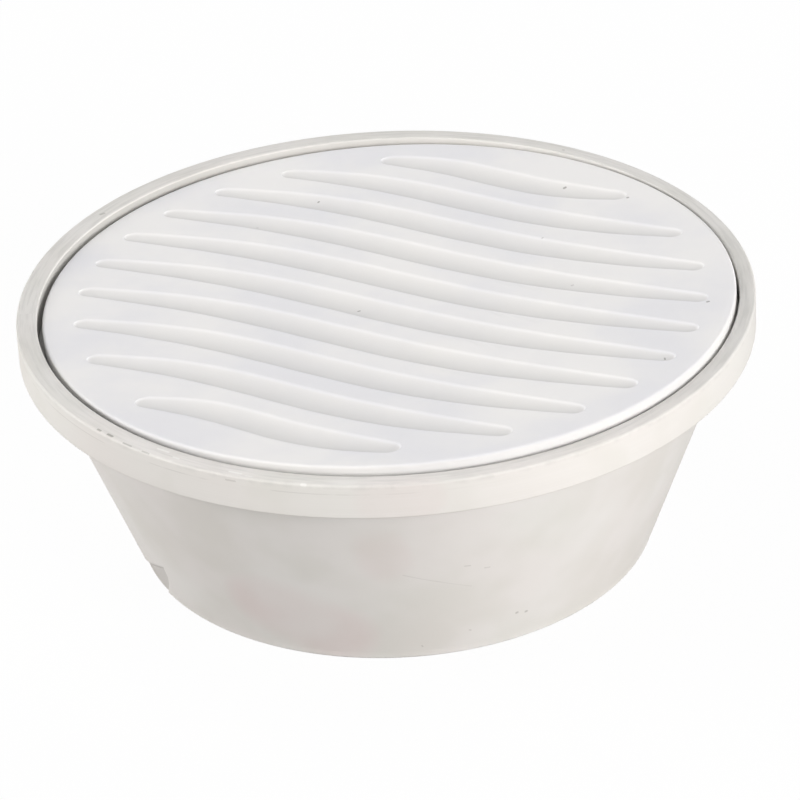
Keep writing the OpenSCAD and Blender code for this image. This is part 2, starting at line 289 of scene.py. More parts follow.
# The flutes' shape as steps of (result, operation, inputs). The grid's x runs from -1 to 1 along the flutes,
# and its y is the place across them. Each step is one Math node, and a name stands for an input or a result.
FLUTE_STEPS = (
    # the line's strip, its flute, and its part of the groove and of the land
    ("strip", "DIVIDE", "across", "Pitch"),
    ("strip_no", "FLOOR", "strip"),
    ("strip_mid", "ADD", "strip_no", 0.5),
    ("row_raw", "MULTIPLY", "strip_mid", "Pitch"),
    ("half_pitch", "MULTIPLY", "Pitch", 0.5),
    ("stack", "MULTIPLY", "Rows", "half_pitch"),
    ("last_row", "SUBTRACT", "stack", "half_pitch"),
    ("row_high", "MINIMUM", "row_raw", "last_row"),
    ("first_row", "MULTIPLY", "last_row", -1.0),
    ("row", "MAXIMUM", "row_high", "first_row"),
    ("in_strip", "SUBTRACT", "across", "row"),
    ("side_sign", "SIGN", "in_strip"),
    ("off_row", "ABSOLUTE", "in_strip"),
    ("share", "DIVIDE", "off_row", "half_pitch"),
    ("inner_raw", "DIVIDE", "share", GROOVE),
    ("inner", "MINIMUM", "inner_raw", 1.0),
    ("outer_raw", "SUBTRACT", "share", GROOVE),
    ("outer_part", "DIVIDE", "outer_raw", 1 - GROOVE),
    ("outer_low", "MAXIMUM", "outer_part", 0.0),
    ("outer", "MINIMUM", "outer_low", 1.0),
    ("kept", "SUBTRACT", 1.0, "outer"),
    ("groove_kept", "MULTIPLY", "inner", "kept"),
    ("land_reach", "MULTIPLY", "outer", "half_pitch"),
    # the line's place on the rim of the disc, where the flute has closed
    ("closed_width", "MULTIPLY", "groove_kept", CLOSED_HALF),
    ("closed_reach", "ADD", "closed_width", "land_reach"),
    ("closed_side", "MULTIPLY", "closed_reach", "side_sign"),
    ("rim_row", "ADD", "row", "closed_side"),
    ("is_cap", "GREATER_THAN", "far", "stack"),
    ("cap_across", "MULTIPLY", "is_cap", "across"),
    ("not_cap", "SUBTRACT", 1.0, "is_cap"),
    ("strip_across", "MULTIPLY", "not_cap", "rim_row"),
    ("rim_across", "ADD", "cap_across", "strip_across"),
    ("disc_across", "ADD", "rim_across", "Shift Across"),
    ("rim_square", "MULTIPLY", "disc_across", "disc_across"),
    ("disc_square", "MULTIPLY", "Disc Radius", "Disc Radius"),
    ("chord_square", "SUBTRACT", "disc_square", "rim_square"),
    ("chord_safe", "MAXIMUM", "chord_square", 0.0),
    ("chord", "SQRT", "chord_safe"),
    ("even_raw", "MULTIPLY", "along", "chord"),
    ("even_along", "SUBTRACT", "even_raw", "Shift Along"),
    # the flute's half length: the outer corners of the tips lie on one circle
    ("half_width", "MULTIPLY", "Width", 0.5),
    ("tip_half", "MULTIPLY", "half_width", "Tip Share"),
    ("row_size", "ABSOLUTE", "row"),
    ("tip_corner", "ADD", "row_size", "tip_half"),
    ("corner_square", "MULTIPLY", "tip_corner", "tip_corner"),
    ("reach_square", "MULTIPLY", "Reach", "Reach"),
    ("half_square", "SUBTRACT", "reach_square", "corner_square"),
    ("half_length", "SQRT", "half_square"),
    # columns that gather at the tips and end on the rim of the disc
    ("along_sign", "SIGN", "along"),
    ("along_size", "ABSOLUTE", "along"),
    ("tip_raw", "DIVIDE", "along_size", TIP_AT),
    ("tip_part", "MINIMUM", "tip_raw", 1.0),
    ("tip_angle", "MULTIPLY", "tip_part", math.pi / 2),
    ("tip_sine", "SINE", "tip_angle"),
    ("tip_reach", "MULTIPLY", "tip_sine", "half_length"),
    ("tip_place", "MULTIPLY", "tip_reach", "along_sign"),
    ("past_raw", "SUBTRACT", "along_size", TIP_AT),
    ("past_part", "DIVIDE", "past_raw", 1 - TIP_AT),
    ("past", "MAXIMUM", "past_part", 0.0),
    ("rim_raw", "MULTIPLY", "along_sign", "chord"),
    ("rim_place", "SUBTRACT", "rim_raw", "Shift Along"),
    ("past_gap", "SUBTRACT", "rim_place", "tip_place"),
    ("past_move", "MULTIPLY", "past_gap", "past"),
    ("fitted_along", "ADD", "tip_place", "past_move"),
    ("blend", "MAXIMUM", "outer", "is_cap"),
    ("blend_gap", "SUBTRACT", "even_along", "fitted_along"),
    ("blend_move", "MULTIPLY", "blend_gap", "blend"),
    ("u", "ADD", "fitted_along", "blend_move"),
    # the wave and the width at this place
    ("t_raw", "DIVIDE", "u", "half_length"),
    ("t_low", "MINIMUM", "t_raw", 1.0),
    ("t", "MAXIMUM", "t_low", -1.0),
    ("t_square", "MULTIPLY", "t", "t"),
    ("falling", "SUBTRACT", 1.0, "t_square"),
    ("t_size", "ABSOLUTE", "t"),
    ("t_power", "POWER", "t_size", TIP_POWER),
    ("narrowing", "SUBTRACT", 1.0, "Tip Share"),
    ("narrowed", "MULTIPLY", "narrowing", "t_power"),
    ("share_here", "SUBTRACT", 1.0, "narrowed"),
    ("t_left", "SUBTRACT", 1.0, "t_size"),
    ("tip_gap", "MULTIPLY", "t_left", "half_length"),
    ("tip_rounds", "DIVIDE", "tip_gap", "Tip Round"),
    ("tip_held", "MINIMUM", "tip_rounds", 1.0),
    ("tip_in", "SUBTRACT", 1.0, "tip_held"),
    ("tip_in_sq", "MULTIPLY", "tip_in", "tip_in"),
    ("tip_out_sq", "SUBTRACT", 1.0, "tip_in_sq"),
    ("tip_curve", "SQRT", "tip_out_sq"),
    ("fall", "MULTIPLY", "share_here", "tip_curve"),
    ("skewed", "MULTIPLY", "Skew", "falling"),
    ("wave_part", "ADD", "t", "skewed"),
    ("wave_angle", "MULTIPLY", "wave_part", math.pi),
    ("wave_sine", "SINE", "wave_angle"),
    ("swing_more", "MULTIPLY", "Swing Rate", "half_length"),
    ("swing_all", "ADD", "Swing", "swing_more"),
    ("swing_back", "MULTIPLY", "swing_all", -1.0),
    ("wave", "MULTIPLY", "swing_back", "wave_sine"),
    ("true_width", "MULTIPLY", "half_width", "fall"),
    ("line_width", "MAXIMUM", "true_width", CLOSED_HALF),
    ("wave_kept", "MULTIPLY", "wave", "kept"),
    ("width_kept", "MULTIPLY", "line_width", "groove_kept"),
    ("reach_side", "ADD", "width_kept", "land_reach"),
    ("reach_signed", "MULTIPLY", "reach_side", "side_sign"),
    ("row_wave", "ADD", "row", "wave_kept"),
    ("v_row", "ADD", "row_wave", "reach_signed"),
    ("v_strip", "MULTIPLY", "not_cap", "v_row"),
    ("v", "ADD", "cap_across", "v_strip"),
    # depth of the arc section, with its edges rounded over
    ("v_off", "SUBTRACT", "v", "row"),
    ("v_from_wave", "SUBTRACT", "v_off", "wave"),
    ("uneven", "NOISE", "u", "v"),
    ("uneven_side", "SUBTRACT", "uneven", 0.5),
    ("uneven_move", "MULTIPLY", "uneven_side", "Wobble"),
    ("v_moved", "ADD", "v_from_wave", "uneven_move"),
    ("width_safe", "MAXIMUM", "fall", LEAST_FALL),
    ("section_raw", "DIVIDE", "v_moved", "width_safe"),
    ("section_size", "ABSOLUTE", "section_raw"),
    ("half_width_sq", "MULTIPLY", "half_width", "half_width"),
    ("depth_sq", "MULTIPLY", "Depth", "Depth"),
    ("arc_top", "ADD", "half_width_sq", "depth_sq"),
    ("arc_half", "DIVIDE", "arc_top", "Depth"),
    ("arc_radius", "MULTIPLY", "arc_half", 0.5),
    ("arc_limit", "MULTIPLY", "arc_radius", ARC_END),
    ("section", "MINIMUM", "section_size", "arc_limit"),
    ("section_sq", "MULTIPLY", "section", "section"),
    ("arc_sq", "MULTIPLY", "arc_radius", "arc_radius"),
    ("arc_left", "SUBTRACT", "arc_sq", "section_sq"),
    ("arc_height", "SQRT", "arc_left"),
    ("arc_level", "SUBTRACT", "arc_radius", "Depth"),
    ("cut", "SUBTRACT", "arc_height", "arc_level"),
    ("cut_soft", "SMOOTH_MAX", "cut", 0.0, "Lip"),
    ("cut_tapered", "MULTIPLY", "cut_soft", "fall"),
    ("cut_flat", "MULTIPLY", "cut_tapered", "not_cap"),
    ("z", "MULTIPLY", "cut_flat", -1.0),
)
FLUTE_INPUTS = ("Pitch", "Rows", "Width", "Depth", "Reach", "Disc Radius", "Lip", "Tip Share", "Tip Round",
                "Wobble", "Swing", "Swing Rate", "Skew", "Turn", "Shift Along", "Shift Across", "Seed")


def flute_tree():
    """Geometry Nodes tree that bends a grid into the cover's fluted top."""
    tree = bpy.data.node_groups.new("Cover flutes", "GeometryNodeTree")
    tree.interface.new_socket("Geometry", in_out="INPUT", socket_type="NodeSocketGeometry")
    for name in FLUTE_INPUTS:
        tree.interface.new_socket(name, in_out="INPUT", socket_type="NodeSocketFloat")
    tree.interface.new_socket("Material", in_out="INPUT", socket_type="NodeSocketMaterial")
    tree.interface.new_socket("Geometry", in_out="OUTPUT", socket_type="NodeSocketGeometry")
    start = add(tree, "NodeGroupInput").outputs
    grid = add(tree, "GeometryNodeInputPosition").outputs[0]
    place = add(tree, "ShaderNodeSeparateXYZ", [(0, grid)]).outputs
    known = {name: start[name] for name in FLUTE_INPUTS}
    known.update(along=place["X"], across=place["Y"])
    known["far"] = add(tree, "ShaderNodeMath", [(0, place["Y"])], operation="ABSOLUTE").outputs[0]
    for name, operation, *values in FLUTE_STEPS:
        links = [(i, known[v] if isinstance(v, str) else v) for i, v in enumerate(values)]
        if operation == "NOISE":
            at = add(tree, "ShaderNodeCombineXYZ", [*links, (2, start["Seed"])]).outputs[0]
            links = [("Vector", at), ("Scale", 1 / (UNEVEN * MM))]
            known[name] = add(tree, "ShaderNodeTexNoise", links).outputs[0]
        else:
            known[name] = add(tree, "ShaderNodeMath", links, operation=operation).outputs[0]
    flat = add(tree, "ShaderNodeCombineXYZ", [(0, known["u"]), (1, known["v"]), (2, known["z"])]).outputs[0]
    shifts = [(0, start["Shift Along"]), (1, start["Shift Across"])]
    off = add(tree, "ShaderNodeCombineXYZ", shifts).outputs[0]
    moved = add(tree, "ShaderNodeVectorMath", [(0, flat), (1, off)], operation="ADD").outputs[0]
    round_axis = [("Vector", moved), ("Angle", start["Turn"])]
    spun = add(tree, "ShaderNodeVectorRotate", round_axis, rotation_type="Z_AXIS").outputs[0]
    bent = add(tree, "GeometryNodeSetPosition", [(0, start["Geometry"]), ("Position", spun)]).outputs[0]
    real = add(tree, "GeometryNodeRealizeInstances", [(0, bent)]).outputs[0]
    coated = add(tree, "GeometryNodeSetMaterial", [(0, real), ("Material", start["Material"])]).outputs[0]
    add(tree, "NodeGroupOutput", [(0, coated)])
    return tree


# the grid's lines across half a flute and half the land beside it, as parts of each, the number of lines from
# the last flute to the rim of the disc, and the number of columns along the flutes
FLUTE_LINES = (0, .14, .28, .42, .56, .69, .8, .88, .93, .965, 1)
LAND_LINES = (.04, .09, .16, .3, .62, 1)
CAP_LINES = 14
COLUMNS = 150


def flute_grid(sizes, disc):
    """Flat grid for the fluted top, x from -1 to 1 and y across, its lines gathered at the flutes' edges."""
    shares = [v * GROOVE for v in FLUTE_LINES] + [GROOVE + v * (1 - GROOVE) for v in LAND_LINES]
    half = sizes.pitch / 2
    stack = sizes.rows * half
    across = set()
    for i in range(sizes.rows):
        row = (i - (sizes.rows - 1) / 2) * sizes.pitch
        across.update(round(row + side * share * half, 7) for share in shares for side in (-1, 1))
    middle = -sizes.shift_across
    for side in (-1, 1):
        start = math.asin((stack - side * middle) / disc)
        for i in range(1, CAP_LINES + 1):
            turn = start + (math.pi / 2 - start) * i / CAP_LINES
            across.add(round(middle + side * disc * math.sin(turn), 7))
    along = [-1 + 2 * i / COLUMNS for i in range(COLUMNS + 1)]
    made = bmesh.new()
    lines = [[made.verts.new((x, y, 0)) for x in along] for y in sorted(across)]
    for low, high in zip(lines, lines[1:]):
        for a, b, c, d in zip(low, low[1:], high[1:], high):
            made.faces.new((a, b, c, d))
    mesh = bpy.data.meshes.new("cover_grid")
    made.to_mesh(mesh)
    made.free()
    return mesh


# the ground-off patch at the foot: its top edge and its right edge, as (degrees past -X, height in mm)
DENT_TOP = ((22, 11), (34, 22))
DENT_RIGHT = ((28, 1), (30, 5), (32, 10), (33.5, 15), (34, 22))
# the stretch of the foot that holds the patch, in the same units
DENT_FROM, DENT_TO, DENT_HIGH = 6, 37, 25
# cuts across each edge of its mesh
DENT_CUTS = 5
# distance from the sloping top edge for each mm under it, and the patch's soft edge in mm
DENT_SLOPE, DENT_SOFT = 0.85, 1.2


def between(points, value, key):
    """The other coordinate on a polyline where the coordinate number `key` has a value."""
    for low, high in zip(points, points[1:]):
        if value <= high[key] or high is points[-1]:
            part = (value - low[key]) / (high[key] - low[key])
            return low[1 - key] + (high[1 - key] - low[1 - key]) * part


def dent(made, sizes):
    """Presses the ground-off patch into the foot, on a finer part of the mesh, and marks where it lies, to be
    darkened.
    """
    def place(co):
        return math.degrees(math.atan2(-co.y, -co.x)), co.z / MM

    def at_foot(co, inset):
        turn, high = place(co)
        return DENT_FROM < turn < DENT_TO and high < DENT_HIGH and co.xy.length > sizes.base_radius - inset

    edges = {edge for face in made.faces if at_foot(face.calc_center_median(), 1 * MM) for edge in face.edges}
    bmesh.ops.subdivide_edges(made, edges=list(edges), cuts=DENT_CUTS, use_grid_fill=True)
    patch_darkening = made.verts.layers.float.new("patch_darkening")
    for vert in made.verts:
        if not at_foot(vert.co, 2 * MM):
            continue
        turn, high = place(vert.co)
        across = (between(DENT_RIGHT, high, 1) - turn) * math.radians(1) * vert.co.xy.length / MM
        below = (between(DENT_TOP, turn, 0) - high) * DENT_SLOPE
        inside = min(1, max(0, min(across, below) / DENT_SOFT))
        inside = inside * inside * (3 - 2 * inside)
        vert[patch_darkening] = inside
        away = 1 - inside * sizes.dent_depth / vert.co.xy.length
        vert.co.x *= away
        vert.co.y *= away


# longest stretch of the bowl's outline without a point, and the number of its faces round the axis
BOWL_STEP, BOWL_PARTS = 3 * MM, 384
# points closer than this count as one
NEAR = 0.01 * MM


class TRAP_OT_bowl(bpy.types.Operator):
    """Makes the moulded bowl"""
    bl_idname = "trap.bowl"
    bl_label = "Bowl"

    def execute(self, context):
        sizes = context.scene.trap_bowl
        made = turned(spread(bowl_profile(sizes), BOWL_STEP), BOWL_PARTS)
        # the wall and the edge of the cover's recess lie a little off the axis
        low = RIM_RADIUS - sizes.rim_width - NEAR
        high = low + sizes.recess_edge + 2 * NEAR
        for vert in made.verts:
            if low < vert.co.xy.length < high and vert.co.z > SEAT_HEIGHT - NEAR:
                vert.co.x += sizes.recess_shift
        dent(made, sizes)
        mesh = bpy.data.meshes.new("bowl")
        made.to_mesh(mesh)
        made.free()
        piece("moulded_bowl", mesh, "root", "trap_body", bowl_material(sizes))
        return {"FINISHED"}


class TRAP_OT_bell(bpy.types.Operator):
    """Finishes the water seal bell"""
    bl_idname = "trap.bell"
    bl_label = "Water seal bell"

    def execute(self, context):
        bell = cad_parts["water_seal_bell"]
        bell.data.materials.clear()
        bell.data.materials.append(bell_material(context.scene.trap_bell))
        return {"FINISHED"}


# points of the fluted top closer than this are joined
WELD = 0.002 * MM


def cover_blank(sizes, material):
    """The fluted top as a plain mesh in a bmesh, from the Geometry Nodes tree."""
    disc = sizes.radius - sizes.edge
    holder = bpy.data.objects.new("cover_grid", flute_grid(sizes, disc))
    bpy.context.scene.collection.objects.link(holder)
    tree = flute_tree()
    values = {
        "Pitch": sizes.pitch, "Rows": float(sizes.rows), "Width": sizes.width, "Depth": sizes.depth,
        "Reach": sizes.radius - sizes.margin, "Disc Radius": disc, "Lip": sizes.lip,
        "Tip Share": sizes.tip_share, "Tip Round": sizes.tip_round, "Wobble": sizes.wobble * 2,
        "Swing": sizes.swing, "Swing Rate": sizes.swing_rate, "Skew": sizes.skew, "Turn": sizes.turn,
        "Shift Along": sizes.shift_along, "Shift Across": sizes.shift_across, "Seed": UNEVEN_SEED,
        "Material": material,
    }
    bender = holder.modifiers.new("Cover flutes", "NODES")
    bender.node_group = tree
    for item in tree.interface.items_tree:
        if item.in_out == "INPUT" and item.name in values:
            bender[item.identifier] = values[item.name]
    done = bpy.data.meshes.new_from_object(holder.evaluated_get(bpy.context.evaluated_depsgraph_get()))
    holder.modifiers.remove(bender)
    bpy.data.objects.remove(holder)
    made = bmesh.new()
    made.from_mesh(done)
    bmesh.ops.remove_doubles(made, verts=made.verts, dist=WELD)
    return made


# rings of the cover's underside, as parts of the skirt's inner radius
UNDERSIDE_RINGS = (1, 0.75, 0.5, 0.25)


def cover_solid(sizes, material):
    """The fluted top closed with its edge, skirt and underside. The middle of its top is at the origin."""
    made = cover_blank(sizes, material)
    rim = [v for v in made.verts if v.is_boundary]
    rim.sort(key=lambda v: math.atan2(v.co.y, v.co.x))
    angles = [math.atan2(v.co.y, v.co.x) for v in rim]
    inner = sizes.radius - sizes.skirt
    profile = arc(sizes.radius - sizes.edge, -sizes.edge, sizes.edge, 90, 0)[1:]
    profile += [(sizes.radius, -sizes.plate), (sizes.radius, -sizes.height), (inner, -sizes.height)]
    profile += [(inner * part, -sizes.plate) for part in UNDERSIDE_RINGS]
    last = rim
    for radius, z in profile:
        ring = [made.verts.new((radius * math.cos(a), radius * math.sin(a), z)) for a in angles]
        for i in range(len(ring)):
            k = (i + 1) % len(ring)
            made.faces.new((last[i], ring[i], ring[k], last[k]))
        last = ring
    middle = made.verts.new((0, 0, -sizes.plate))
    for i in range(len(last)):
        made.faces.new((last[i], middle, last[(i + 1) % len(last)]))
    bmesh.ops.recalc_face_normals(made, faces=made.faces)
    mesh = bpy.data.meshes.new("cover")
    made.to_mesh(mesh)
    made.free()
    return mesh


def slotted(mesh, sizes):
    """The cover's mesh with the ring of water slots cut through its skirt's lower edge."""
    made = bmesh.new()
    # a cutter starts below the skirt and reaches out on both sides of it
    below = 1 * MM
    tall = sizes.slot_height + below
    middle = sizes.radius - sizes.skirt / 2
    for i in range(sizes.slots):
        size = Matrix.Diagonal((3 * sizes.skirt, sizes.slot_width, tall, 1))
        place = Matrix.Translation((middle, 0, tall / 2 - sizes.height - below))
        spin = Matrix.Rotation(2 * math.pi * (i + 0.5) / sizes.slots, 4, "Z")
        bmesh.ops.create_cube(made, size=1, matrix=spin @ place @ size)
    cutter_mesh = bpy.data.meshes.new("slot_cutter")
    made.to_mesh(cutter_mesh)
    made.free()
    holder, cutter = bpy.data.objects.new("blank", mesh), bpy.data.objects.new("slot_cutter", cutter_mesh)
    for one in (holder, cutter):
        bpy.context.scene.collection.objects.link(one)
    cut = holder.modifiers.new("slots", "BOOLEAN")
    cut.operation, cut.solver, cut.object = "DIFFERENCE", "EXACT", cutter
    done = bpy.data.meshes.new_from_object(holder.evaluated_get(bpy.context.evaluated_depsgraph_get()))
    holder.modifiers.remove(cut)
    for one in (holder, cutter):
        bpy.data.objects.remove(one)
    return done


def cover_place(sizes):
    """Where the cover lies: the move and the turn from its own level frame."""
    top = SEAT_HEIGHT + sizes.radius * math.sin(sizes.askew) + sizes.height * math.cos(sizes.askew)
    axis = Vector((math.sin(sizes.raised), -math.cos(sizes.raised), 0))
    return Matrix.Translation((sizes.place_x, sizes.place_y, top)) @ Matrix.Rotation(sizes.askew, 4, axis)


class TRAP_OT_cover(bpy.types.Operator):
    """Makes the fluted cover"""
    bl_idname = "trap.cover"
    bl_label = "Cover"

    def execute(self, context):
        sizes = context.scene.trap_cover
        material = cover_material(sizes)
        mesh = slotted(cover_solid(sizes, material), sizes)
        mesh.transform(cover_place(sizes))
        piece("fluted_cover", mesh, "root", "cover", material)
        return {"FINISHED"}


def join(tree, operation, *values):
    """One value from several, by the same Math step between each two."""
    result = values[0]
    for value in values[1:]:
        result = add(tree, "ShaderNodeMath", [(0, result), (1, value)], operation=operation).outputs[0]
    return result


def zone(tree, inside, *limits):
    """The value inside, faded out at each limit: (what is limited, where it is gone, where it is full)."""
    for value, gone, full in limits:
        links = [(0, value), (1, gone), (2, full), (4, inside)]
        inside = add(tree, "ShaderNodeMapRange", links, interpolation_type="SMOOTHSTEP").outputs[0]
    return inside


def blotches(tree, place, size, detail, gone, full, strength):
    """Mask of blotches about so many mm across, cut from noise between two of its levels."""
    links = [("Vector", place), ("Scale", 1 / (size * MM)), ("Detail", detail)]
    level = add(tree, "ShaderNodeTexNoise", links).outputs[0]
    return zone(tree, strength, (level, gone, full))


def layers(tree, base, *coats):
    """A base colour with coats laid over it in turn, each a colour and the mask of where it lies."""
    under = (*base, 1)
    for coat, mask in coats:
        links = [("Factor", mask), (6, under), (7, (*coat, 1))]
        under = add(tree, "ShaderNodeMix", links, data_type="RGBA").outputs[2]
    return under


# part of a mark's half width that has its full strength
MARK_CORE = 0.4


def stroke(tree, place, start, end, width, strength):
    """Mask of a straight mark between two points, all in mm, that fades out at its half width."""
    start, end = Vector(start) * MM, Vector(end) * MM
    span = end - start
    off = add(tree, "ShaderNodeVectorMath", [(0, place), (1, start)], operation="SUBTRACT").outputs[0]
    unit = span / span.length_squared
    along = add(tree, "ShaderNodeVectorMath", [(0, off), (1, unit)], operation="DOT_PRODUCT").outputs["Value"]
    held = add(tree, "ShaderNodeClamp", [(0, along)]).outputs[0]
    foot = add(tree, "ShaderNodeVectorMath", [(0, span), ("Scale", held)], operation="SCALE").outputs[0]
    gap = add(tree, "ShaderNodeVectorMath", [(0, off), (1, foot)], operation="DISTANCE").outputs["Value"]
    return zone(tree, strength, (gap, width * MM, width * MM * MARK_CORE))


def coating(name):
    """A new material with an empty tree, and its Object coordinates."""
    material = bpy.data.materials.new(name)
    material.use_nodes = True
    material.node_tree.nodes.clear()
    return material, material.node_tree, add(material.node_tree, "ShaderNodeTexCoord").outputs["Object"]


# refractive index of these plastics
PLASTIC_IOR = 1.5
# moulding grain, drawn coarse enough to show, and its height, in mm
GRAIN_SIZE, GRAIN_HEIGHT = 0.8, 0.05


def finish(tree, place, base, roughness, gloss, grain, lines=None):
    """Ends a moulded plastic with its gloss and grain, and fine turning lines where there are any."""
    links = [("Vector", place), ("Scale", 1 / (GRAIN_SIZE * MM))]
    height = add(tree, "ShaderNodeTexNoise", links).outputs[0]
    if lines is not None:
        height = join(tree, "ADD", height, lines)
    links = [("Strength", grain), ("Distance", GRAIN_HEIGHT * MM), ("Height", height)]
    bump = add(tree, "ShaderNodeBump", links)
    shader = add(tree, "ShaderNodeBsdfPrincipled", [
        ("Base Color", base), ("Roughness", roughness), ("IOR", PLASTIC_IOR), ("Specular IOR Level", gloss),
        ("Normal", bump.outputs[0])])
    add(tree, "ShaderNodeOutputMaterial", [("Surface", shader.outputs[0])])


# marks as (start, end, half width, strength), all but the strength in mm
BLUSH_PATCHES = (
    ((-54, -104, 27), (-27, -109, 15), 24, 0.6),
    ((-7, -131, 68), (-4, -127, 57), 17, 0.35),
    ((-6, -150, 99), (10, -150, 99), 14, 0.3),
)
BOWL_SCRATCHES = (
    ((1.2, -125.1, 50.3), (15.5, -121.9, 44.4), 0.5, 0.13),
    ((15.5, -121.9, 44.4), (27.5, -117.9, 39.2), 0.4, 0.1),
    ((25.2, -123.1, 51.7), (27.4, -122.6, 51.5), 0.5, 0.22),
    ((33, -120, 48.6), (34.9, -119.4, 48.4), 0.5, 0.2),
    ((7.1, -109.3, 6.9), (7.4, -109, 6.3), 0.5, 0.25),
    ((26.2, -108.3, 12.6), (26.7, -108.1, 12.3), 0.5, 0.25),
    ((45.2, -103.3, 16.3), (45.4, -103.2, 16.3), 0.9, 0.4),
    ((49, -101.2, 15.3), (49.2, -101.1, 15.3), 0.9, 0.4),
    ((-118.4, 84.5, 106.2), (-117.2, 85.3, 106.2), 1, 0.4),
    ((79.7, 122, 106.2), (80.2, 121.8, 106.2), 0.6, 0.4),
    ((-113.6, -96.4, 106.1), (-112.6, -97.6, 106.1), 0.7, 0.6),
    ((-109.6, -100.6, 106.1), (-107.9, -102.4, 106.1), 0.8, 0.7),
    ((-103.5, -107.6, 105.9), (-100.3, -110.6, 105.9), 0.5, 0.5),
    ((-96, -114.6, 105.9), (-93.5, -116.7, 105.9), 0.5, 0.35),
    ((-64, -135.6, 104), (-60.5, -137.2, 104), 0.5, 0.25),
)
BOWL_FLAKES = (
    ((-90, -113.6, 106.2), (-86, -116.6, 106.2), 0.7, 0.8),
    ((-84, -120.5, 106.2), (-82, -122, 106.2), 0.6, 0.7),
    ((-62.5, -133.5, 106.2), (-58, -135.6, 106.2), 0.6, 0.8),
    ((-56.5, -137.2, 106), (-54, -138.2, 106), 0.5, 0.6),
    ((-35.2, -145.5, 105.9), (-34, -145.8, 105.9), 0.9, 0.8),
)
COVER_SPECKS = (
    ((78.2, 89.8, 105.7), (78.8, 90, 105.7), 0.75, 0.6),
    ((104, 73.8, 106.3), (104.3, 74.1, 106.3), 0.75, 0.6),
    ((128.7, -24.7, 108.5), (129.3, -24.4, 108.5), 0.75, 0.6),
    ((-26.4, 91.9, 104.3), (-26.1, 92.2, 104.3), 0.6, 0.55),
    ((75.8, 1, 107.4), (76.4, 1.3, 107.4), 0.6, 0.25),
    ((-52.5, 71.1, 104.4), (-52.2, 71.4, 104.4), 0.6, 0.25),
    ((-11.3, -9, 106.5), (-10.7, -8.7, 106.5), 0.6, 0.55),
    ((66.2, 41.5, 106.5), (66.5, 41.8, 106.5), 0.6, 0.25),
    ((108.1, -68.8, 109.1), (108.1, -67.3, 109.1), 0.5, 0.5),
)


def marks(tree, place, table):
    """Mask of all the marks of a table."""
    return join(tree, "MAXIMUM", *[stroke(tree, place, *mark) for mark in table])


# the bowl's blotches: size in mm, detail, the levels of the noise where they are gone and full, and strength
CLOUDS = (32, 2, 0.35, 0.7, 0.55)
PIGMENT = (55, 1, 0.3, 0.7, 0.15)
PATCHES = (30, 1, 0.3, 0.6, 0.5)
STREAKS = (1.6, 3, 0.4, 0.7, 0.3)
LINE_PARTS = (14, 2, 0.45, 0.6, 0.1575)
KNOCKS = (6, 4, 0.4, 0.7, 0.25)
# the flow marks in the cover and the bell, in the same way
FLOW_MARKS = (60, 4, 0.35, 0.65, 1)
# height of a turning line in mm
TURNING = 0.9
# what a radian counts for in the streaks and the turning lines, in mm: so little draws them out lengthwise
STREAK_TURN, TURNING_TURN = 12, 0.4
# how far the line round the band lies under the rim
LINE_UNDER = 3.9 * MM


